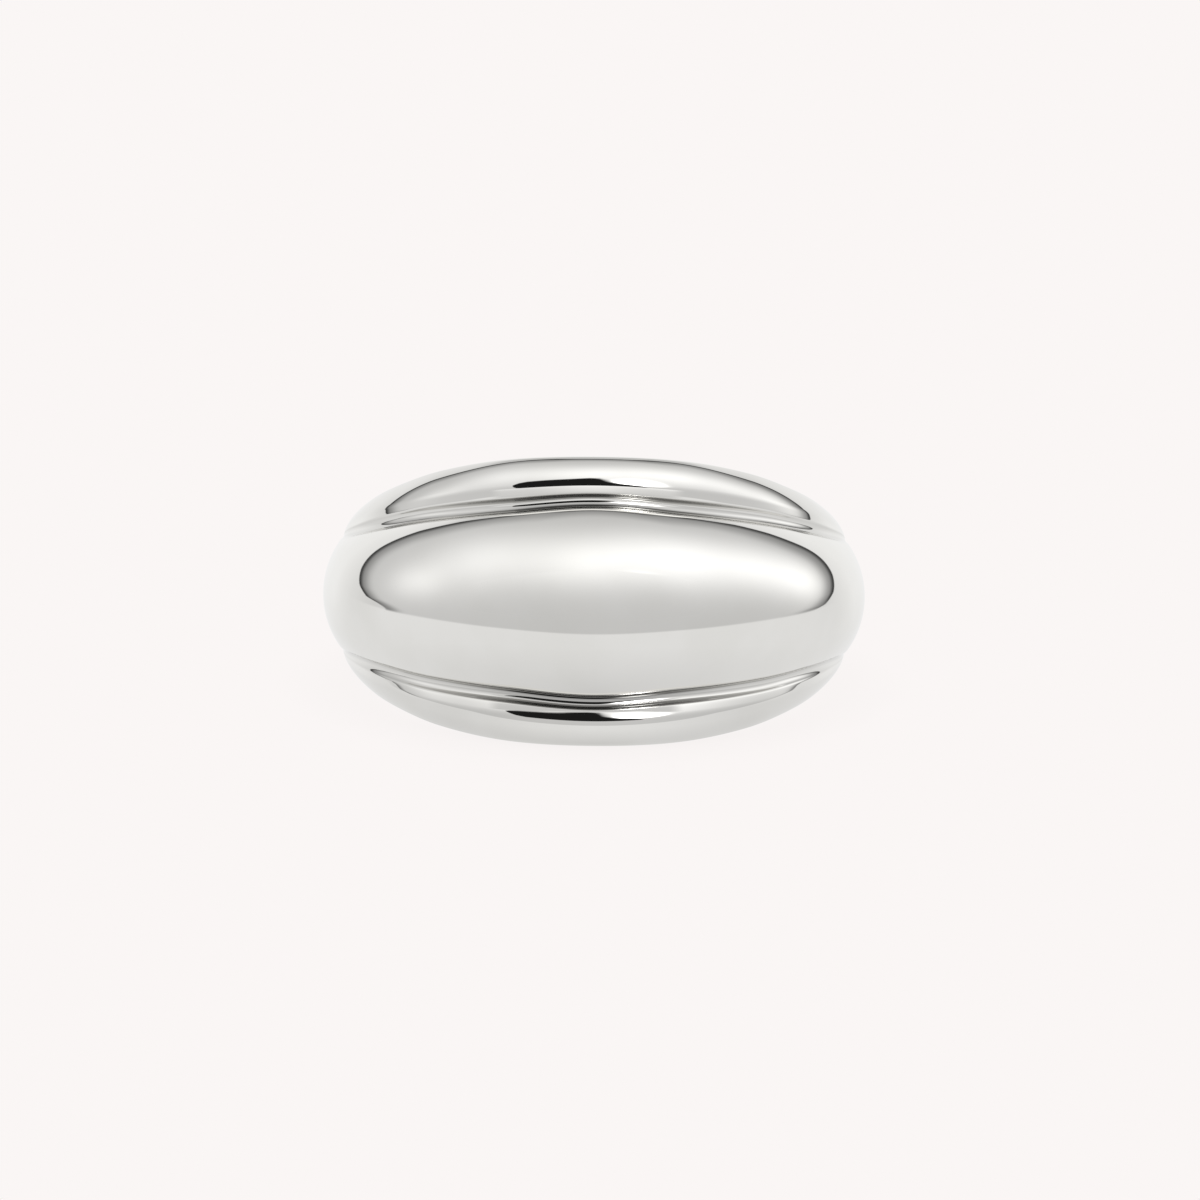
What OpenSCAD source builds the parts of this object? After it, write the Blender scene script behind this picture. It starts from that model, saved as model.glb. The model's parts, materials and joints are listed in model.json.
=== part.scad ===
// Dome ring: a cast and polished band whose front swells into a smooth dome between two
// side rails. A fine hollow groove parts the dome from each rail. Towards the back the
// rails run out, and the band narrows to a plain low shank. The ring lies on its side as
// it rests by itself: on the middle of its lower front rim and of its lower back rim, so
// the finger hole leans a little and the dome looks slightly upward.
// Millimetres. The dome faces -Y, +Z is up, and the floor is z = 0.

/* [Finger hole] */
// Diameter of the finger hole
bore_d = 17.3; // [15:0.1:20]
// Radius that eases each rim of the finger hole
lip_r = 0.25; // [0.1:0.05:0.35]

/* [Dome] */
// Thickness from the finger hole to the dome's crest, at the front
dome_wall = 3.5; // [2.8:0.05:4.2]
// Width of the dome's main arc, at the front
dome_w = 7.15; // [6.4:0.05:8]
// Thickness from the finger hole to the foot of that arc, at the front
foot_wall = 1.79; // [1.5:0.01:2]
// Radius of the dome's edge beside each groove, at the front
edge_r = 0.28; // [0.22:0.01:0.34]

/* [Rails] */
// Width of the band over both rails, at the front
band_w = 11.2; // [10.2:0.1:12.2]

/* [Grooves] */
// Radius of the hollow groove between the dome and each rail, at the front
groove_r = 0.265; // [0.22:0.005:0.31]

/* [Shank] */
// Width of the shank at the back
shank_w = 3.6; // [3.4:0.1:4.4]
// Width of the low crown between the shank's rounded edges, at the back
crown_w = 2.7; // [2.2:0.1:2.9]
// Thickness of the shank at the back
shank_wall = 1.55; // [1.5:0.05:2]
// Thickness of the shank where its crown ends, at the back
shank_foot = 1.4; // [1.3:0.02:1.48]

/* [Smoothness] */
// Sections round the whole ring
sections = 72; // [36:12:84]
// Steps across each half of the dome
dome_steps = 10; // [6:1:12]

/* [Hidden] */

// How the cross-section changes round the ring, the same to the left and to the right.
// One row for each section that was shaped by hand, smoothly joined in between.
// angle: degrees from the middle of the dome
// band:  width over the rails, from shank_w (0) to band_w (1)
// dome:  width of the dome's main arc, from crown_w (0) to dome_w (1)
// crest: thickness at the crest, from shank_wall (0) to dome_wall (1)
// rail:  how far the rail stands clear of the dome, from none (0) to full (1)
SHAPE = [
    // angle, band,  dome,  crest, rail
    [0,       1.00,  1.00,  1.00,  1.00],
    [20,      0.965, 0.872, 0.90,  1.00],
    [40,      0.838, 0.700, 0.70,  0.83],
    [55,      0.693, 0.535, 0.57,  0.70],
    [70,      0.540, 0.395, 0.45,  0.57],
    [82,      0.385, 0.340, 0.34,  0.43],
    [92,      0.260, 0.297, 0.26,  0.30],
    [105,     0.145, 0.225, 0.18,  0.17],
    [130,     0.045, 0.095, 0.08,  0.00],
    [180,     0.000, 0.000, 0.00,  0.00],
];
ANGLE = 0;
BAND = 1;
DOME = 2;
CREST = 3;
RAIL = 4;

// Width from the foot of the dome's main arc to the side of the band, at the front
rail_w = (band_w - dome_w) / 2;
// From that foot, the section goes on in arcs that meet without a kink, out to the side.
// One row for each, as it is at the front. The rail's radii are shares of its width.
// radius: below zero where the arc is hollow
// slope:  degrees from level at the arc's end, below zero where it faces the dome
// steps:  straight lines that stand for the arc
ARCS = [
    // radius,          slope,  steps
    [edge_r,            92,     2], // the dome's edge
    [-groove_r,         -6.5,   3], // the groove, from the dome's side to its bottom
    [-0.93 * groove_r,  -66.5,  2], // the groove's side by the rail
    [0.069 * rail_w,    -15,    1], // the rail's inner edge
    [2.02 * rail_w,     -12,    1], // its inner flank
    [0.277 * rail_w,    8.5,    2], // its ridge
    [0.672 * rail_w,    55,     4], // its outer flank
    [0.119 * rail_w,    90,     4], // the edge of the band's side
];
RADIUS = 0;
SLOPE = 1;
STEPS = 2;

lip_steps = 3;
// Share of each rim's rounding that lies outside the finger hole, so that the hole cuts
// cleanly through the rest of it
lip_share = 0.8;
// The body reaches this far inside the finger hole before the hole is cut
core_depth = 0.6;
bore_r = bore_d / 2;
cut_len = 2 * band_w;
cut_fn = 180;

// Slope of column c at row i of SHAPE, level at both ends
function row_slope(c, i) =
    i == 0 || i == len(SHAPE) - 1 ? 0 :
    (SHAPE[i + 1][c] - SHAPE[i - 1][c]) / (SHAPE[i + 1][ANGLE] - SHAPE[i - 1][ANGLE]);

// The row of SHAPE that angle a follows
function row_before(a, i = 0) =
    i == len(SHAPE) - 2 || a < SHAPE[i + 1][ANGLE] ? i : row_before(a, i + 1);

// Column c of SHAPE at angle a: a cubic curve through the rows
function share(c, a) =
    let (i = row_before(a),
         step = SHAPE[i + 1][ANGLE] - SHAPE[i][ANGLE],
         t = (a - SHAPE[i][ANGLE]) / step)
    (2 * pow(t, 3) - 3 * pow(t, 2) + 1) * SHAPE[i][c]
    + (pow(t, 3) - 2 * pow(t, 2) + t) * step * row_slope(c, i)
    + (3 * pow(t, 2) - 2 * pow(t, 3)) * SHAPE[i + 1][c]
    + (pow(t, 3) - pow(t, 2)) * step * row_slope(c, i + 1);

function mix(from, to, t) = from + (to - from) * t;

// Sizes of the cross-section at angle a from the middle of the dome
function band_half(a) = mix(shank_w, band_w, share(BAND, a)) / 2;
function dome_half(a) = mix(crown_w, dome_w, share(DOME, a)) / 2;
function crest_rad(a) = bore_r + mix(shank_wall, dome_wall, share(CREST, a));
function foot_rad(a) = bore_r + mix(shank_foot, foot_wall, share(CREST, a));
function lip_rad() = bore_r + lip_share * lip_r;

// The dome is an arc from its crest to its foot, and its slope there follows from both
function dome_slope(a) = 2 * atan((crest_rad(a) - foot_rad(a)) / dome_half(a));
function dome_arc_r(a) = dome_half(a) / sin(dome_slope(a));

// Slopes at the joints of the arcs. As the rail runs out they near the dome's slope, up to
// the last arc, which always ends upright.
function joint_slopes(a) =
    let (s = dome_slope(a), rail = max(0, share(RAIL, a)))
    concat(s, [for (i = [0 : len(ARCS) - 2]) mix(s, ARCS[i][SLOPE], rail)], 90);
// One factor on all radii lets the arcs fill the width between the dome and the side
function arc_scale(a) =
    let (s = joint_slopes(a),
         radii = [for (row = ARCS) row[RADIUS]],
         widths = [for (i = [0 : len(ARCS) - 1]) sin(s[i + 1]) - sin(s[i])])
    (band_half(a) - dome_half(a)) / (radii * widths);
// Way [outwards, up] along arc i from its start to where its slope is t
function arc_way(a, i, t) =
    let (s = joint_slopes(a)[i])
    arc_scale(a) * ARCS[i][RADIUS] * [cos(t) - cos(s), sin(t) - sin(s)];
// Point [distance from the axis, height] where arc i starts
function joint(a, i) =
    i == 0 ? [foot_rad(a), dome_half(a)] :
    joint(a, i - 1) + arc_way(a, i - 1, joint_slopes(a)[i]);

// Points [distance from the axis, height] of the upper half of the section at angle a,
// from the crest over the groove and the rail to the side, then round the rim
function dome_points(a) =
    let (r = dome_arc_r(a), s = dome_slope(a))
    [for (i = [0 : dome_steps])
        let (t = s * i / dome_steps)
        [crest_rad(a) - r * (1 - cos(t)), r * sin(t)]];
function arc_points(a) =
    let (s = joint_slopes(a))
    [for (i = [0 : len(ARCS) - 1])
        let (start = joint(a, i), steps = ARCS[i][STEPS])
        for (j = [1 : steps]) start + arc_way(a, i, mix(s[i], s[i + 1], j / steps))];
function lip_points(a) =
    [for (i = [0 : lip_steps])
        let (t = 90 * i / lip_steps)
        [lip_rad() - lip_r * sin(t), band_half(a) - lip_r * (1 - cos(t))]];
function core_points(a) = [[bore_r - core_depth, band_half(a) - lip_r]];

function upper_points(a) = concat(dome_points(a), arc_points(a), lip_points(a), core_points(a));

// The whole section: the upper half, then its mirror image back to the crest
function section_points(a) =
    let (upper = upper_points(a), n = len(upper))
    concat(upper, [for (i = [n - 1 : -1 : 1]) [upper[i][0], -upper[i][1]]]);

// The section at turn a about the axis, with the dome at -Y
function placed_section(a) =
    [for (p = section_points(a > 180 ? 360 - a : a)) [p[0] * sin(a), -p[0] * cos(a), p[1]]];

// Rest: the lower rim touches the floor at the front, where its eased edge is met, and at
// the back, where the shank's rounded edge is. Both arcs reach the same depth at this tilt.
back_edge_r = arc_scale(180) * ARCS[len(ARCS) - 1][RADIUS];
rest_rise = (band_half(0) - lip_r) - (band_half(180) - back_edge_r);
rest_span = lip_rad() + joint(180, len(ARCS))[0];
tilt = atan(rest_rise / rest_span)
    - asin((back_edge_r - lip_r) / norm([rest_rise, rest_span]));
rest_height = (band_half(0) - lip_r) * cos(tilt) - lip_rad() * sin(tilt) + lip_r;
// The tilted ring's reach to the front and to the back, and the middle between them
front_reach = (crest_rad(0) - dome_arc_r(0)) * cos(tilt) + dome_arc_r(0);
back_reach = (crest_rad(180) - dome_arc_r(180)) * cos(tilt) + dome_arc_r(180);
centre_y = (front_reach - back_reach) / 2;

// The outer form, swept through all sections
module band_form() {
    rings = [for (i = [0 : sections - 1]) placed_section(360 * i / sections)];
    count = len(rings[0]);
    points = [for (ring = rings, p = ring) p];
    faces = [
        for (i = [0 : sections - 1], j = [0 : count - 1])
            let (a = i * count, b = ((i + 1) % sections) * count, k = (j + 1) % count)
            each [[a + j, a + k, b + k], [a + j, b + k, b + j]]
    ];
    polyhedron(points = points, faces = faces);
}

module ring() {
    color([0.87, 0.86, 0.85])
    translate([0, centre_y, rest_height])
    rotate([-tilt, 0, 0])
    difference() {
        band_form();
        cylinder(h = cut_len, r = bore_r, center = true, $fn = cut_fn);
    }
}

ring();
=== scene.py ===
import json
import math

import bmesh
import bpy
import numpy as np
from bpy.props import FloatProperty, FloatVectorProperty, IntProperty, PointerProperty
from mathutils import Matrix, Vector


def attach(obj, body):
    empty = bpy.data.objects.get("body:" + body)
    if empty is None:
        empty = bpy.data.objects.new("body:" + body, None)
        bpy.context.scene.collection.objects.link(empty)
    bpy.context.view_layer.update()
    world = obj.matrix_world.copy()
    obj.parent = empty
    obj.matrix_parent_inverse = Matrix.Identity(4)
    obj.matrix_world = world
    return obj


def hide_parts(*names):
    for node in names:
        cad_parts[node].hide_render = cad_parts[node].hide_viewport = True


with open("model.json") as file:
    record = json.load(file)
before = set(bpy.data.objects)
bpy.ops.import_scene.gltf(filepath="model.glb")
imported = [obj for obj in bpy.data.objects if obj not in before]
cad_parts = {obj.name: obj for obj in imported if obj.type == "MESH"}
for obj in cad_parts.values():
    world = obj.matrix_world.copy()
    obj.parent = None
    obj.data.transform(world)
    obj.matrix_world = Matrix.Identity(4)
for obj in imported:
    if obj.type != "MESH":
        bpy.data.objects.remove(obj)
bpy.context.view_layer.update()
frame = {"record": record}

bl_info = {
    "name": "Dome Ring",
    "version": (1, 0, 0),
    "blender": (4, 5, 0),
    "location": "3D View > Sidebar > Dome Ring",
    "description": "A polished dome ring on its side, with a plain pale studio",
    "category": "Add Mesh",
}

MM = 0.001
HOLE = next(m for m in frame["record"]["mounts"] if m["name"] == "finger_hole")
HOLE_CENTRE = np.array(HOLE["pos_m"])
HOLE_RADIUS = HOLE["dims"]["r_mm"] * MM
# The ring leans from upright by this much, towards +Y, about the X axis
LEAN = math.atan2(HOLE["axis"][1], HOLE["axis"][2])

# How the section changes round the ring, alike to the left and to the right. A row for
# each given section: degrees from the middle of the dome, then, from 0 at the back to 1
# at the front, the width over the rails, the width of the dome, the height of its crest,
# and how far the rails stand clear.
SHAPE = np.array([
    [0, 1.00, 1.00, 1.00, 1.00],
    [20, 0.965, 0.872, 0.90, 1.00],
    [40, 0.838, 0.700, 0.70, 0.83],
    [55, 0.693, 0.535, 0.57, 0.70],
    [70, 0.540, 0.395, 0.45, 0.57],
    [82, 0.385, 0.340, 0.34, 0.43],
    [92, 0.260, 0.297, 0.26, 0.30],
    [105, 0.145, 0.225, 0.18, 0.17],
    [130, 0.045, 0.095, 0.08, 0.00],
    [180, 0.000, 0.000, 0.00, 0.00],
])
BAND, DOME, CREST, RAIL = 1, 2, 3, 4
# Past the dome's foot, the section goes on in arcs that meet without a kink, up to the
# side. A row for each: the radius in millimetres at the front, below 0 where the arc is
# hollow, the slope in degrees at its end, its steps, and how strongly painted dark
# reflection greys the metal at its end, from 0 to 1, first in the middle of the ring's
# front and then to its sides.
CHAIN = np.array([
    [0.28, 92, 6, 0.8, 0.4],  # the dome's edge
    [-0.265, 35, 6, 0.9, 0.4],  # the groove's side by the dome
    [-0.265, -6.5, 6, 0.0, 0.1],  # the groove's bottom
    [-0.246, -35, 5, 0.4, 0.15],  # the groove's other half
    [-0.246, -66.5, 5, 0.9, 0.3],  # the groove's side by the rail
    [0.14, -15, 6, 0.0, 0.0],  # the rail's inner edge
    [4.09, -12, 3, 0.0, 0.05],  # the rail's inner flank
    [0.561, 8.5, 8, 0.0, 0.15],  # the rail's ridge
    [1.361, 55, 16, 0.0, 0.15],  # the rail's outer flank
    [0.241, 90, 8, 0.0, 0.1],  # the side's edge
])
RADIUS, SLOPE, STEPS, PAINTED_REFLECTION, SIDE_PAINTED_REFLECTION = range(5)
# The painted dark reflection changes from its middle amount to its side amount between these
# degrees
PAINTED_REFLECTION_TURNS = (10, 35)
# Share of each rim's easing that lies outside the finger hole
LIP_SHARE = 0.8
# Steps of the dome's arc from the crest to its foot, of the flat side, of a rim, and of the
# finger hole's wall up to its middle
DOME_STEPS, SIDE_STEPS, RIM_STEPS, WALL_STEPS = 26, 2, 5, 3
# Points closer than this, in metres, are one point
SAME_PLACE = 1e-7
# Where the Mix node has its factor and its two colours, and the mixed colour
MIX_INPUTS = (0, 6, 7)
MIX_RESULT = 2


def length(name, description, default):
    """A length of the ring, as a property in metres."""
    return FloatProperty(
        name=name, description=description, default=default, min=0, precision=6, unit="LENGTH"
    )


class RingSizes(bpy.types.PropertyGroup):
    """Sizes of the ring's section at the front and at the back, and of its mesh"""

    lip_radius: length("Rim easing", "Radius that eases each rim of the finger hole", 0.25 * MM)
    dome_wall: length("Dome thickness", "From the finger hole to the dome's crest", 3.5 * MM)
    dome_width: length("Dome width", "Width of the dome's main arc at the front", 7.15 * MM)
    band_width: length("Band width", "Width over both rails at the front", 11.2 * MM)
    foot_wall: length("Foot thickness", "From the finger hole to the dome's foot", 1.79 * MM)
    shank_width: length("Shank width", "Width of the shank at the back", 3.6 * MM)
    crown_width: length("Crown width", "Width of the shank's low crown", 2.7 * MM)
    shank_wall: length("Shank thickness", "Thickness of the shank at the back", 1.55 * MM)
    shank_foot: length("Shank edge", "Thickness of the shank where its crown ends", 1.4 * MM)
    sections: IntProperty(
        name="Sections", description="Sections round the whole ring", default=540, min=24
    )


class SilverFinish(bpy.types.PropertyGroup):
    """Colour and polish of the silver, and the grey of its painted dark reflection"""

    bright: FloatVectorProperty(
        name="Silver",
        description="Colour of the polished silver",
        default=(0.93, 0.92, 0.895),
        subtype="COLOR",
        min=0,
        max=1,
    )
    deep: FloatVectorProperty(
        name="Deeper silver",
        description="Slightly deeper tone in the silver's faint cloudiness",
        default=(0.90, 0.89, 0.86),
        subtype="COLOR",
        min=0,
        max=1,
    )
    # Painted dark reflection, not a real film: this grey is blended into the silver, standing in
    # for dark reflections in the grooves and on the rails
    painted_reflection: FloatVectorProperty(
        name="Painted dark reflection",
        description="Colour of the silver under the thin grey film in the grooves",
        default=(0.15, 0.149, 0.146),
        subtype="COLOR",
        min=0,
        max=1,
    )
    ripple: length(
        "Polishing ripple", "Height of the soft ripple left by hand polishing", 0.0004 * MM
    )


class Studio(bpy.types.PropertyGroup):
    """Floor and camera of the studio round the ring"""

    floor: FloatVectorProperty(
        name="Floor",
        description="Colour of the pale floor, as it looks under the studio's light",
        default=(0.956, 0.922, 0.913),
        subtype="COLOR",
        min=0,
        max=1,
    )
    shade: FloatProperty(
        name="Floor shade",
        description="Share of light that the floor loses right beside the ring",
        default=0.04,
        subtype="FACTOR",
        min=0,
        max=1,
    )
    elevation: FloatProperty(
        name="Camera elevation",
        description="Height of the camera above the horizon, seen from the ring",
        default=LEAN + math.radians(1.7),
        subtype="ANGLE",
    )
    roll: FloatProperty(
        name="Camera roll",
        description="Turn of the camera about its line of sight",
        default=math.radians(0.5),
        subtype="ANGLE",
    )
    distance: length("Camera distance", "From the camera to the middle of the finger hole", 0.3)
    field: length("Field of view", "Width that the picture covers at the ring", 47.92 * MM)


def share(column, angle):
    """Column of SHAPE at each angle: a cubic curve through the rows, level at both ends."""
    at, value = SHAPE[:, 0], SHAPE[:, column]
    slope = np.zeros(len(at))
    slope[1:-1] = (value[2:] - value[:-2]) / (at[2:] - at[:-2])
    i = np.clip(np.searchsorted(at, angle, side="right") - 1, 0, len(at) - 2)
    step = at[i + 1] - at[i]
    t = (angle - at[i]) / step
    return (
        (2 * t**3 - 3 * t**2 + 1) * value[i]
        + (t**3 - 2 * t**2 + t) * step * slope[i]
        + (3 * t**2 - 2 * t**3) * value[i + 1]
        + (t**3 - t**2) * step * slope[i + 1]
    )


def rail_share(angle):
    """How far the rails stand clear at each angle, never below 0."""
    return np.maximum(0, share(RAIL, angle))


def mix(first, last, t):
    """The value that lies the share t of the way from first to last."""
    return first + (last - first) * t


def arc(radius, start, end, steps, first=1):
    """Steps along an arc that turns from slope start to slope end.

    Gives how far each point lies outwards and sideways of the arc's own centre: radius
    times the cosine and the sine of the slope. A negative radius is a hollow arc.
    """
    slope = start + (end - start) * np.linspace(0, 1, steps + 1)[first:]
    return radius * np.cos(slope), radius * np.sin(slope)


def upper_half(sizes, angle):
    """Distance from the axis and height of the section's upper half at each angle.

    From the crest, the dome is an arc to its foot, and the chain of arcs leads on to the
    side. One factor scales all radii of the chain, so that it fills the width that the
    dome leaves. Where the rails run out, the slopes at its joints near the dome's slope.
    Then come the flat side, the rim's quarter ellipse, and the finger hole's wall.
    """
    column = angle[:, None]
    band = mix(sizes.shank_width, sizes.band_width, share(BAND, column)) / 2
    dome = mix(sizes.crown_width, sizes.dome_width, share(DOME, column)) / 2
    crest = HOLE_RADIUS + mix(sizes.shank_wall, sizes.dome_wall, share(CREST, column))
    foot = HOLE_RADIUS + mix(sizes.shank_foot, sizes.foot_wall, share(CREST, column))
    slope = 2 * np.arctan((crest - foot) / dome)

    dome_radius = dome / np.sin(slope)
    out, up = arc(dome_radius, 0, slope, DOME_STEPS, first=0)
    parts = [(crest - dome_radius + out, up)]

    clear = rail_share(column)
    joints = [slope] + [mix(slope, math.radians(end), clear) for end in CHAIN[:-1, SLOPE]]
    joints.append(math.pi / 2 + 0 * slope)
    rises = [np.sin(end) - np.sin(start) for start, end in zip(joints, joints[1:])]
    scale = (band - dome) / sum(radius * rise for radius, rise in zip(CHAIN[:, RADIUS], rises))
    side, height = foot, dome
    for (radius, _, steps, *_), start, end in zip(CHAIN, joints, joints[1:]):
        grown = radius * scale
        out, up = arc(grown, start, end, int(steps))
        parts.append((side - grown * np.cos(start) + out, height - grown * np.sin(start) + up))
        side, height = parts[-1][0][:, -1:], parts[-1][1][:, -1:]

    lip = HOLE_RADIUS + LIP_SHARE * sizes.lip_radius
    across = np.linspace(0, 1, SIDE_STEPS + 1)[1:-1]
    parts.append((mix(side, lip, across), band + 0 * across))

    turn = np.linspace(0, math.pi / 2, RIM_STEPS + 1)
    rim_out = lip - LIP_SHARE * sizes.lip_radius * np.sin(turn) + 0 * column
    rim_up = band - sizes.lip_radius * (1 - np.cos(turn))
    parts.append((rim_out, rim_up))

    down = 1 - np.linspace(0, 1, WALL_STEPS + 1)[1:]
    parts.append((HOLE_RADIUS + 0 * down + 0 * column, (band - sizes.lip_radius) * down))
    return np.concatenate([p[0] for p in parts], 1), np.concatenate([p[1] for p in parts], 1)


def ring_points(sizes):
    """The ring as a grid: sections round the finger hole by points round each section.

    A section is its upper half and that half mirrored, without the two points that both
    share. At a turn t from the middle of the dome a point at distance r from the axis and
    at height h lies at (r sin t, -r cos t, h). The whole is then leaned about X and
    lifted to where the finger hole's mount is.
    """
    turn = np.arange(sizes.sections) * 360 / sizes.sections
    out, up = upper_half(sizes, np.minimum(turn, 360 - turn))
    out = np.concatenate([out, out[:, -2:0:-1]], 1)
    up = np.concatenate([up, -up[:, -2:0:-1]], 1)
    turn = np.radians(turn)[:, None]
    points = np.stack([out * np.sin(turn), -out * np.cos(turn), up], -1)
    cos, sin = math.cos(LEAN), math.sin(LEAN)
    lean = np.array([[1, 0, 0], [0, cos, sin], [0, -sin, cos]])
    return points @ lean.T + HOLE_CENTRE


def painted_reflection_amount(sizes, count):
    """How much painted dark reflection greys the metal at each point: most on the groove's sides.

    It follows the chain of arcs, alike above and below, and fades out where the rails do.
    """
    turn = np.arange(sizes.sections) * 360 / sizes.sections
    turn = np.minimum(turn, 360 - turn)[:, None]
    first, last = PAINTED_REFLECTION_TURNS
    aside = np.clip((turn - first) / (last - first), 0, 1)
    steps = CHAIN[:, STEPS].astype(int)
    joint = np.concatenate([[0], np.cumsum(steps)])
    painted_reflection = np.zeros((sizes.sections, count))
    for column, amount in ((PAINTED_REFLECTION, 1 - aside), (SIDE_PAINTED_REFLECTION, aside)):
        along = np.interp(np.arange(joint[-1] + 1), joint, np.concatenate([[0], CHAIN[:, column]]))
        painted_reflection[:, DOME_STEPS:DOME_STEPS + len(along)] += amount * along
    painted_reflection = np.maximum(painted_reflection, np.roll(painted_reflection[:, ::-1], 1, 1))
    return rail_share(turn) * painted_reflection


def torus_mesh(name, points):
    """A closed mesh of the grid, joined round both ways, with its faces outwards.

    Each face joins a point of the grid to the next row's, the next row's next point and
    its own row's next point.
    """
    rows, columns = points.shape[:2]
    mesh = bpy.data.meshes.new(name)
    row, column = np.meshgrid(np.arange(rows), np.arange(columns), indexing="ij")
    next_row, next_column = (row + 1) % rows, (column + 1) % columns
    corners = [
        row * columns + column,
        next_row * columns + column,
        next_row * columns + next_column,
        row * columns + next_column,
    ]
    faces = np.stack(corners, -1).reshape(-1)
    count = rows * columns
    mesh.vertices.add(count)
    mesh.vertices.foreach_set("co", points.reshape(-1))
    mesh.loops.add(4 * count)
    mesh.loops.foreach_set("vertex_index", faces)
    mesh.polygons.add(count)
    mesh.polygons.foreach_set("loop_start", np.arange(0, 4 * count, 4))
    mesh.polygons.foreach_set("use_smooth", np.ones(count, bool))
    mesh.update(calc_edges=True)
    mesh.validate()
    return mesh


def merge_points(mesh):
    """Merges the points that fall together where the rails run out."""
    cage = bmesh.new()
    cage.from_mesh(mesh)
    bmesh.ops.remove_doubles(cage, verts=cage.verts, dist=SAME_PLACE)
    cage.to_mesh(mesh)
    cage.free()


class Graph:
    """Adds nodes to one node tree, each with its settings and inputs in one call."""

    def __init__(self, tree):
        self.tree = tree
        tree.nodes.clear()

    def node(self, kind, inputs=(), **settings):
        """A node of this kind. An input is another node's output or a plain value."""
        node = self.tree.nodes.new(kind)
        for name, value in settings.items():
            setattr(node, name, value)
        for key, value in dict(inputs).items():
            self.feed(node.inputs[key], value)
        return node

    def feed(self, socket, value):
        """Links another node's output to the socket, or sets a plain value on it."""
        if isinstance(value, bpy.types.NodeSocket):
            self.tree.links.new(value, socket)
        else:
            socket.default_value = value

    def math(self, operation, *values):
        """The result of one sum."""
        return self.node("ShaderNodeMath", enumerate(values), operation=operation).outputs[0]

    def vector(self, operation, first, second):
        """The node that makes one sum of two vectors."""
        return self.node("ShaderNodeVectorMath", {0: first, 1: second}, operation=operation)

    def step(self, value, low, high):
        """0 below low, 1 above high and a soft step between. With low over high it falls."""
        inputs = {"Value": value, "From Min": low, "From Max": high}
        node = self.node("ShaderNodeMapRange", inputs, interpolation_type="SMOOTHSTEP")
        return node.outputs["Result"]

    def ramp(self, value, stops, curve="LINEAR"):
        """A tone that follows the value through the stops, each (value, tone).

        It runs straight from stop to stop, or as the named curve.
        """
        low, high = stops[0][0], stops[-1][0]
        inputs = {"Value": value, "From Min": low, "From Max": high}
        place = self.node("ShaderNodeMapRange", inputs).outputs["Result"]
        node = self.node("ShaderNodeValToRGB", {"Fac": place})
        node.color_ramp.interpolation = curve
        marks = node.color_ramp.elements
        while len(marks) < len(stops):
            marks.new(1.0)
        for mark, (at, tone) in zip(marks, stops):
            mark.position = (at - low) / (high - low)
            mark.color = (tone, tone, tone, 1)
        return node.outputs["Color"]

    def curve(self, value, stops, low, high):
        """A number that follows the value through the stops, each (value, number).

        All the numbers lie from low to high.
        """
        shares = [(at, (number - low) / (high - low)) for at, number in stops]
        return self.math("MULTIPLY_ADD", self.ramp(value, shares), high - low, low)

    def blend(self, factor, first, second):
        """The colour first where the factor is 0, and second where it is 1."""
        node = self.node("ShaderNodeMix", data_type="RGBA")
        for place, value in zip(MIX_INPUTS, (factor, first, second)):
            self.feed(node.inputs[place], value)
        return node.outputs[MIX_RESULT]


def light(level):
    """Light that shows as this level on the screen, of 255, in a perfect mirror.

    The numbers are those of the screen's own curve: a straight start, then a power.
    """
    value = level / 255
    return value / 12.92 if value <= 0.04045 else ((value + 0.055) / 1.055) ** 2.4


def in_silver(level):
    """Light that shows as this level on the screen, of 255, in the polished silver."""
    return light(level) / MIRROR


def grey(value):
    """A neutral colour for a socket."""
    return (value, value, value, 1)


# Share of the light that the polished silver gives back
MIRROR = 0.91
# Noise of the silver's faint clouds, of its fine grain and of its polishing ripple
CLOUDS = {"Scale": 260.0, "Detail": 3.0}
GRAIN = {"Scale": 5200.0, "Detail": 5.0}
RIPPLE = {"Scale": 420.0, "Detail": 1.0}
# How strong the clouds are where the deeper and the brighter silver are reached
CLOUD_EDGES = (0.35, 0.65)
# Roughness where the grain is weakest and strongest
SMOOTHEST, ROUGHEST = 0.012, 0.045

# How far the floor reaches from its middle, and how near the ring it is shaded, in metres
FLOOR_REACH = 3.0
SHADE_REACH = 3 * MM
SHADE_SAMPLES = 8

# The large soft lights: degrees round to the right of the camera, degrees above the
# horizon, sharpness, and the light that each adds at its middle
SOFT_LIGHTS = (
    (-89.5, 13, 36, 0.23),
    (-70, 42, 8, 0.36),
    (-3, 51, 9.4, 0.46),
    (60, 46, 9.7, 0.54),
    (93.5, 25, 18.7, 0.38),
    (108.6, 8.7, 33.5, 0.41),
)
# Small lights by the camera, which the fill card keeps out of the dome's front: the same
SMALL_LIGHTS = ((23, 23, 110, 20.0),)

# The fill card in millimetres, in the ring's own frame with its axis upright: its sides,
# its foot and top, its place before the ring, and how far its edges fade
CARD_LEFT, CARD_RIGHT = -12.4, 9.4
CARD_FOOT, CARD_TOP = -1.75, 3.35
CARD_FRONT = -15.2
CARD_FADE_LEFT, CARD_FADE_RIGHT, CARD_FADE_ENDS = 3, 2.6, 0.3
# The direction in which the dome mirrors a place on the card: for 1 ahead it points this
# much aside and this much up for each millimetre, and this much up as well
CARD_ASIDE, CARD_RISE, CARD_START = 0.112, 0.188, -0.013

# The surroundings, by direction. A direction has length 1: x is how far it points to the
# right, y how far back and z how far up. Levels are those that the silver shows, of 255.
# Each pair of values is a soft step, from where it is 0 to where it is 1.
ROOM_LOW_LEVEL, ROOM_HIGH_LEVEL = 193, 185
ROOM_HEIGHTS = (0, 0.87)
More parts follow.
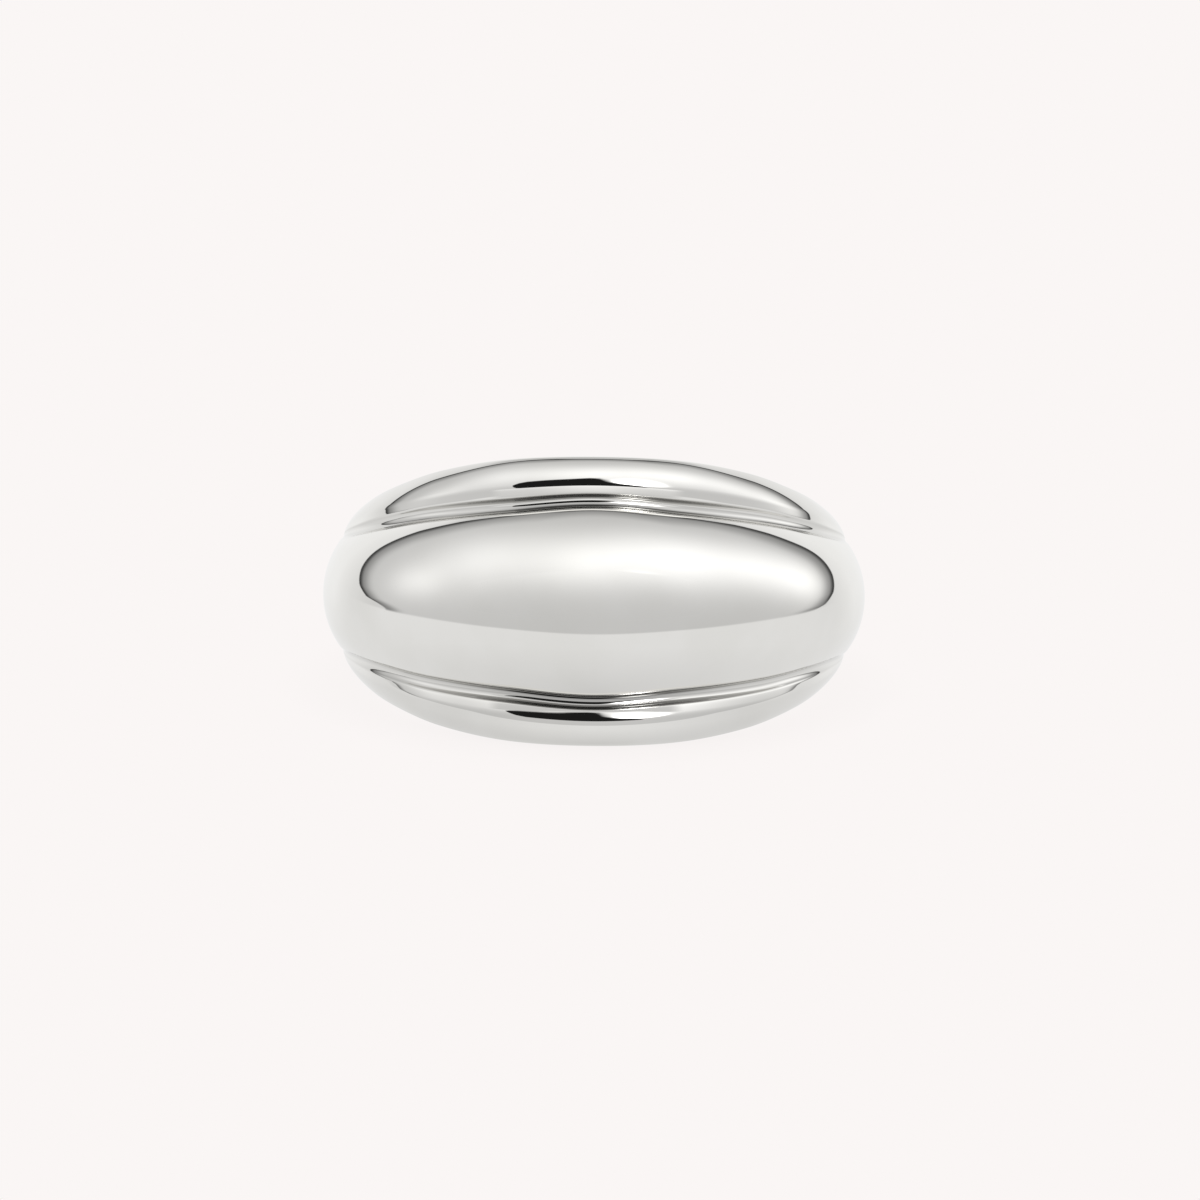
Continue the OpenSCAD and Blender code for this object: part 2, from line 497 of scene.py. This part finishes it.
# Outline of the room's opening behind: height of a direction, and how far it points back
OPENING = (
    (-0.25, 0.20),
    (-0.195, 0.295),
    (-0.15, 0.42),
    (-0.05, 0.55),
    (0.1, 0.64),
    (0.3, 0.70),
    (0.52, 0.606),
    (0.69, 0.565),
    (0.8, 0.53),
    (0.86, 0.49),
    (0.9, 0.44),
    (1.0, 0.40),
)
# The outline is read at a height changed by these shares of x, to the left, where x is
# below 0, and to the upper right
LEFT_TILT, RIGHT_TILT = 0.06, 0.045
UPPER_HEIGHTS = (0.3, 0.5)
# How far back the outline is moved, below 0 forwards: everywhere, and then by these shares
# of x to the right and to the left
BACK_SHIFT, RIGHT_SHIFT, LEFT_SHIFT = -0.034, 0.042, 0.008
# The room's shade beside the opening, by the distance inside its outline
SHADED_LEVEL = 153
SHADE_WIDTH = (0.2, 0.03)
# Shades in the room's corners: distance inside the outline, how far to the right, and light
# that is lost
CORNER_SHADES = (
    ((0.3, 0.02), (0.5, 0.9), 0.2),
    ((0.15, 0.02), (-0.5, -0.9), 0.1),
)
# The outline itself: past it lies the sweep, and a dark line follows it down to a height
PAST_OUTLINE = (0.012, -0.012)
LINE_OUTSIDE, LINE_INSIDE = (-0.018, -0.004), (0.055, 0.0)
LINE_HEIGHTS = (-0.2, -0.08)
LINE_LEVEL = 62
# The pale sweep behind: how far a direction points back, and the level there
SWEEP = ((0.3, 205), (0.55, 217), (0.8, 233), (1.0, 236))
SWEEP_TOP_LEVEL = 190
SWEEP_TOP_HEIGHTS = (0.6, 0.75)
# The pale floor: degrees above the horizon, and the level there. Its far edge rises by a
# share of how far a direction points back, and a haze blends it with the sweep.
GROUND = ((-90, 200), (-60, 211), (-35, 219), (0, 221))
GROUND_RISE = 0.13
GROUND_EDGE = (-0.21, -0.245)
HAZE_BACK, HAZE_HEIGHTS = (0.2, 0.75), (-0.65, -0.2)

# The dark camera's outline, which the fill card keeps out of the dome's front: degrees
# round from the camera, and the degrees above the horizon of its top and of its foot there
CAMERA_TOP = (
    (-48, -10),
    (-46, 22),
    (-44, 28),
    (-40, 31.5),
    (-29, 34.5),
    (-15, 37),
    (-3, 40),
    (3, 39),
    (8, 31),
    (13, 19),
    (18, 13),
    (23, 5),
    (26, -10),
)
CAMERA_FOOT = ((-48, 26), (-46, 24), (-42, 12), (-38, 2), (-33, -3), (30, -3))
# Lowest and highest that the top and the foot can be
CAMERA_SPAN = (-10, 80)
# How soft the top is: degrees round, and degrees over which half of it fades
CAMERA_SOFTNESS = ((0, 1.5), (9, 10), (18, 6))
SOFTNESS_SPAN = (0, 20)
# Where the top fades, in shares of its softness, and where the foot does, in degrees
TOP_FADE, FOOT_FADE = (-0.9, 1.1), (-1, 1)
# Light that the camera gives off
CAMERA_TONE = 0.012

# The middle of the picture lies this far to the right of the finger hole and below it
FRAME_RIGHT = 0.24 * MM
FRAME_DOWN = 0.228 * MM
# Nearest and farthest that the camera sees, in metres
NEAREST, FARTHEST = 10 * MM, 10.0


def silver(finish):
    """Polished silver: a mirror with faint clouds in its colour and a soft ripple.

    The painted dark reflection, kept as a point attribute, blends its colour towards grey.
    """
    material = bpy.data.materials.new("polished_silver")
    material.use_nodes = True
    graph = Graph(material.node_tree)
    place = graph.node("ShaderNodeTexCoord").outputs["Object"]
    clouds = graph.node("ShaderNodeTexNoise", {"Vector": place, **CLOUDS}).outputs["Fac"]
    tone = graph.step(clouds, *CLOUD_EDGES)
    colour = graph.blend(tone, (*finish.deep, 1), (*finish.bright, 1))
    # Painted dark reflection: greys the silver's colour in the grooves and on the rails, standing
    # in for dark reflections
    painted_reflection = graph.node("ShaderNodeAttribute", attribute_name="painted_reflection").outputs["Fac"]
    colour = graph.blend(painted_reflection, colour, (*finish.painted_reflection, 1))
    grain = graph.node("ShaderNodeTexNoise", {"Vector": place, **GRAIN}).outputs["Fac"]
    haze = {"Value": grain, "To Min": SMOOTHEST, "To Max": ROUGHEST}
    roughness = graph.node("ShaderNodeMapRange", haze).outputs["Result"]
    ripple = graph.node("ShaderNodeTexNoise", {"Vector": place, **RIPPLE}).outputs["Fac"]
    relief = {"Height": ripple, "Distance": finish.ripple, "Strength": 1.0}
    bump = graph.node("ShaderNodeBump", relief)
    surface = {
        "Base Color": colour,
        "Metallic": 1.0,
        "Roughness": roughness,
        "Normal": bump.outputs["Normal"],
    }
    shader = graph.node("ShaderNodeBsdfPrincipled", surface)
    graph.node("ShaderNodeOutputMaterial", {"Surface": shader.outputs["BSDF"]})
    return material


class MESH_OT_dome_ring(bpy.types.Operator):
    """Makes the ring's closed surface and its polished silver"""

    bl_idname = "mesh.dome_ring"
    bl_label = "Add Ring"

    def execute(self, context):
        scene = context.scene
        points = ring_points(scene.ring_sizes)
        mesh = torus_mesh("dome_ring", points)
        # Painted dark reflection on each point, by which the silver's colour is greyed
        painted_reflection = mesh.attributes.new("painted_reflection", "FLOAT", "POINT")
        amount = painted_reflection_amount(scene.ring_sizes, points.shape[1])
        painted_reflection.data.foreach_set("value", amount.reshape(-1))
        merge_points(mesh)
        mesh.materials.append(silver(scene.silver_finish))
        ring = bpy.data.objects.new("dome_ring", mesh)
        scene.collection.objects.link(ring)
        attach(ring, "root")
        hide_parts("ring")
        return {"FINISHED"}


def ring_place(x, y, z):
    """A place given in the ring's own frame, with its axis upright, as a world place."""
    lean = Matrix.Rotation(-LEAN, 4, "X")
    return Matrix.Translation(Vector(HOLE_CENTRE)) @ lean @ Vector((x, y, z))


def add_stage(name, mesh, material):
    """A stage piece: the ring's surroundings, which aren't part of it."""
    mesh.materials.append(material)
    piece = bpy.data.objects.new(name, mesh)
    bpy.context.scene.collection.objects.link(piece)
    return piece


def add_floor(studio):
    """A wide pale floor that evenly glows, and darkens a little right beside the ring.

    The metal doesn't mirror it, but the floor that the light by direction has.
    """
    material = bpy.data.materials.new("pale_floor")
    material.use_nodes = True
    graph = Graph(material.node_tree)
    reach = {"Distance": SHADE_REACH}
    near = graph.node("ShaderNodeAmbientOcclusion", reach, samples=SHADE_SAMPLES)
    dark = tuple(v * (1 - studio.shade) for v in studio.floor)
    colour = graph.blend(near.outputs["AO"], (*dark, 1), (*studio.floor, 1))
    glow = graph.node("ShaderNodeEmission", {"Color": colour})
    graph.node("ShaderNodeOutputMaterial", {"Surface": glow.outputs[0]})
    half = FLOOR_REACH
    mesh = bpy.data.meshes.new("floor")
    corners = [(-half, -half, 0), (half, -half, 0), (half, half, 0), (-half, half, 0)]
    mesh.from_pydata(corners, [], [(0, 1, 2, 3)])
    floor = add_stage("floor", mesh, material)
    floor.visible_glossy = False


def room_light(graph, direction):
    """The large soft lights and the grey room that they stand in, by direction."""
    height = graph.node("ShaderNodeSeparateXYZ", {"Vector": direction}).outputs[2]
    low, high = grey(in_silver(ROOM_LOW_LEVEL)), grey(in_silver(ROOM_HIGH_LEVEL))
    tone = graph.blend(graph.step(height, *ROOM_HEIGHTS), low, high)
    return add_lights(graph, direction, tone, SOFT_LIGHTS)


def add_lights(graph, direction, tone, lights):
    """The tone with each light added, brightest in its middle and softly fading round it.

    A light falls off as e to the power of its sharpness times the cosine of the angle from
    its middle less 1.
    """
    for around, above, sharpness, strength in lights:
        turn, tip = math.radians(around), math.radians(above)
        middle = (math.sin(turn) * math.cos(tip), -math.cos(turn) * math.cos(tip), math.sin(tip))
        near = graph.vector("DOT_PRODUCT", direction, middle).outputs["Value"]
        fall = graph.math("MULTIPLY", graph.math("SUBTRACT", near, 1.0), sharpness)
        glow = graph.math("MULTIPLY", graph.math("EXPONENT", fall), strength / MIRROR)
        tone = graph.vector("ADD", tone, glow).outputs[0]
    return tone


def add_fill_card():
    """A card before the dome with the tones of the soft lights, seen only in the metal.

    It keeps the dark camera out of the dome. Each place on it has the tone of the
    direction in which the dome mirrors that place.
    """
    material = bpy.data.materials.new("fill_card")
    material.use_nodes = True
    graph = Graph(material.node_tree)
    place = graph.node("ShaderNodeTexCoord").outputs["UV"]
    across, above, _ = graph.node("ShaderNodeSeparateXYZ", {"Vector": place}).outputs
    aside = graph.math("MULTIPLY", across, CARD_ASIDE)
    rise = graph.math("MULTIPLY_ADD", above, CARD_RISE, CARD_START)
    ahead = graph.node("ShaderNodeCombineXYZ", {0: aside, 1: -1.0, 2: rise}).outputs[0]
    turned = {"Vector": ahead, "Rotation": (-LEAN, 0, 0)}
    direction = graph.node("ShaderNodeMapping", turned, vector_type="NORMAL").outputs[0]
    glow = graph.node("ShaderNodeEmission", {"Color": room_light(graph, direction)})
    clear = graph.node("ShaderNodeBsdfTransparent")
    edges = (
        graph.step(across, CARD_LEFT, CARD_LEFT + CARD_FADE_LEFT),
        graph.step(across, CARD_RIGHT, CARD_RIGHT - CARD_FADE_RIGHT),
        graph.step(above, CARD_FOOT, CARD_FOOT + CARD_FADE_ENDS),
        graph.step(above, CARD_TOP, CARD_TOP - CARD_FADE_ENDS),
    )
    solid = edges[0]
    for edge in edges[1:]:
        solid = graph.math("MULTIPLY", solid, edge)
    mixed = graph.node("ShaderNodeMixShader", {0: solid, 1: clear.outputs[0], 2: glow.outputs[0]})
    graph.node("ShaderNodeOutputMaterial", {"Surface": mixed.outputs[0]})
    mesh = bpy.data.meshes.new("fill_card")
    flat = [
        (CARD_LEFT, CARD_FOOT),
        (CARD_RIGHT, CARD_FOOT),
        (CARD_RIGHT, CARD_TOP),
        (CARD_LEFT, CARD_TOP),
    ]
    corners = [ring_place(x * MM, CARD_FRONT * MM, z * MM) for x, z in flat]
    mesh.from_pydata(corners, [], [(0, 1, 2, 3)])
    layer = mesh.uv_layers.new(name="card")
    layer.data.foreach_set("uv", np.array(flat, float).reshape(-1))
    card = add_stage("fill_card", mesh, material)
    card.visible_camera = False
    card.visible_diffuse = False


def opening_depth(graph, x, y, z):
    """How far a direction lies inside the outline of the room's opening behind.

    That is how far back OPENING says for the direction's height, less how far back the
    direction points. The outline lies a little higher to the left, a little lower to the
    upper right and a little further back to the right.
    """
    left = graph.math("MINIMUM", x, 0.0)
    right = graph.math("MAXIMUM", x, 0.0)
    upper_right = graph.math("MULTIPLY", right, graph.step(z, *UPPER_HEIGHTS))
    height = graph.math("MULTIPLY_ADD", left, LEFT_TILT, z)
    height = graph.math("MULTIPLY_ADD", upper_right, RIGHT_TILT, height)
    outline = graph.ramp(height, OPENING, "B_SPLINE")
    shift = graph.math("MULTIPLY_ADD", right, RIGHT_SHIFT, BACK_SHIFT)
    shift = graph.math("MULTIPLY_ADD", left, LEFT_SHIFT, shift)
    return graph.math("SUBTRACT", graph.math("ADD", outline, shift), y)


def shade_room(graph, tone, inside, x):
    """The room's tone, darker towards the opening and more so in the corners beside it."""
    by_opening = in_silver(ROOM_LOW_LEVEL) - in_silver(SHADED_LEVEL)
    shade = graph.math("MULTIPLY", graph.step(inside, *SHADE_WIDTH), by_opening)
    for width, sideways, lost in CORNER_SHADES:
        corner = graph.math("MULTIPLY", graph.step(inside, *width), graph.step(x, *sideways))
        shade = graph.math("MULTIPLY_ADD", corner, lost, shade)
    return graph.vector("SUBTRACT", tone, shade).outputs[0]


def add_dark_camera(graph, tone, around, above):
    """The tone with the dark camera before it, between its outline's foot and top."""
    top = graph.curve(around, CAMERA_TOP, *CAMERA_SPAN)
    foot = graph.curve(around, CAMERA_FOOT, *CAMERA_SPAN)
    softness = graph.curve(around, CAMERA_SOFTNESS, *SOFTNESS_SPAN)
    under_top = graph.math("DIVIDE", graph.math("SUBTRACT", top, above), softness)
    under_top = graph.step(under_top, *TOP_FADE)
    over_foot = graph.step(graph.math("SUBTRACT", above, foot), *FOOT_FADE)
    dark = graph.math("MULTIPLY", over_foot, under_top)
    return graph.blend(dark, tone, grey(CAMERA_TONE))


def silver_stops(stops):
    """Stops of a ramp whose levels are those that the silver shows."""
    return [(at, in_silver(level)) for at, level in stops]


def add_light(studio):
    """The studio's light by direction, as the polished metal mirrors it.

    Large soft lights stand in a grey room, the floor is pale below, a dark camera with a
    small bright light beside it stands in front, and the room opens on a pale sweep behind.
    """
    world = bpy.data.worlds.new("studio")
    bpy.context.scene.world = world
    world.use_nodes = True
    graph = Graph(world.node_tree)
    direction = graph.node("ShaderNodeTexCoord").outputs["Generated"]
    x, y, z = graph.node("ShaderNodeSeparateXYZ", {"Vector": direction}).outputs
    above = graph.math("MULTIPLY", graph.math("ARCSINE", z), math.degrees(1))
    around = graph.math("ARCTAN2", x, graph.math("MULTIPLY", y, -1.0))
    around = graph.math("MULTIPLY", around, math.degrees(1))

    inside = opening_depth(graph, x, y, z)
    tone = shade_room(graph, room_light(graph, direction), inside, x)
    tone = add_lights(graph, direction, tone, SMALL_LIGHTS)
    tone = add_dark_camera(graph, tone, around, above)

    # The pale sweep behind, and the dark line along the opening's outline
    sweep = graph.ramp(y, silver_stops(SWEEP))
    top = grey(in_silver(SWEEP_TOP_LEVEL))
    sweep = graph.blend(graph.step(z, *SWEEP_TOP_HEIGHTS), sweep, top)
    tone = graph.blend(graph.step(inside, *PAST_OUTLINE), tone, sweep)
    outer, inner = graph.step(inside, *LINE_OUTSIDE), graph.step(inside, *LINE_INSIDE)
    line = graph.math("MULTIPLY", outer, inner)
    line = graph.math("MULTIPLY", line, graph.step(z, *LINE_HEIGHTS))
    tone = graph.blend(line, tone, grey(light(LINE_LEVEL)))

    # The floor, whose edge lies lower in front than at the sides, and fades into the sweep
    edge = graph.math("SUBTRACT", z, graph.math("MULTIPLY", y, GROUND_RISE))
    ground = graph.ramp(above, silver_stops(GROUND))
    haze = graph.math("MULTIPLY", graph.step(y, *HAZE_BACK), graph.step(edge, *HAZE_HEIGHTS))
    ground = graph.blend(haze, ground, sweep)
    tone = graph.blend(graph.step(edge, *GROUND_EDGE), tone, ground)

    # The picture's own background has the floor's colour
    seen = graph.node("ShaderNodeLightPath").outputs["Is Camera Ray"]
    colour = graph.blend(seen, tone, (*studio.floor, 1))
    background = graph.node("ShaderNodeBackground", {"Color": colour})
    graph.node("ShaderNodeOutputWorld", {"Surface": background.outputs[0]})


def add_camera(studio):
    """A camera in front of the dome, a little above its level."""
    data = bpy.data.cameras.new("camera")
    data.lens = data.sensor_width * studio.distance / studio.field
    data.clip_start = NEAREST
    data.clip_end = FARTHEST
    camera = bpy.data.objects.new("camera", data)
    cos, sin = math.cos(studio.elevation), math.sin(studio.elevation)
    back, up, right = Vector((0, -cos, sin)), Vector((0, sin, cos)), Vector((1, 0, 0))
    target = Vector(HOLE_CENTRE) + right * FRAME_RIGHT - up * FRAME_DOWN
    cos, sin = math.cos(studio.roll), math.sin(studio.roll)
    rolled = right * cos + up * sin, up * cos - right * sin
    turn = Matrix((*rolled, back)).transposed().to_4x4()
    camera.matrix_world = Matrix.Translation(target + back * studio.distance) @ turn
    scene = bpy.context.scene
    scene.collection.objects.link(camera)
    scene.camera = camera
    scene.view_settings.view_transform = "Standard"


class SCENE_OT_ring_studio(bpy.types.Operator):
    """Makes the floor, the light and the camera"""

    bl_idname = "scene.ring_studio"
    bl_label = "Add Studio"

    def execute(self, context):
        studio = context.scene.ring_studio
        add_floor(studio)
        add_fill_card()
        add_light(studio)
        add_camera(studio)
        return {"FINISHED"}


class VIEW3D_PT_dome_ring(bpy.types.Panel):
    """Sizes and finish of the ring, with a button for each step"""

    bl_label = "Dome Ring"
    bl_space_type = "VIEW_3D"
    bl_region_type = "UI"
    bl_category = "Dome Ring"

    def draw(self, context):
        scene = context.scene
        for group in (scene.ring_sizes, scene.silver_finish, scene.ring_studio):
            column = self.layout.column(align=True)
            for name in group.bl_rna.properties.keys():
                if name not in ("rna_type", "name"):
                    column.prop(group, name)
        self.layout.operator(MESH_OT_dome_ring.bl_idname)
        self.layout.operator(SCENE_OT_ring_studio.bl_idname)


CLASSES = (
    RingSizes,
    SilverFinish,
    Studio,
    MESH_OT_dome_ring,
    SCENE_OT_ring_studio,
    VIEW3D_PT_dome_ring,
)


def register():
    """Makes the classes and the scene's property groups known."""
    for item in CLASSES:
        bpy.utils.register_class(item)
    bpy.types.Scene.ring_sizes = PointerProperty(type=RingSizes)
    bpy.types.Scene.silver_finish = PointerProperty(type=SilverFinish)
    bpy.types.Scene.ring_studio = PointerProperty(type=Studio)


def unregister():
    """Takes back what register did, in the opposite order."""
    del bpy.types.Scene.ring_studio
    del bpy.types.Scene.silver_finish
    del bpy.types.Scene.ring_sizes
    for item in reversed(CLASSES):
        bpy.utils.unregister_class(item)


def main():
    """Makes the ring and its studio."""
    register()
    bpy.ops.mesh.dome_ring()
    bpy.ops.scene.ring_studio()


if __name__ == "__main__":
    main()
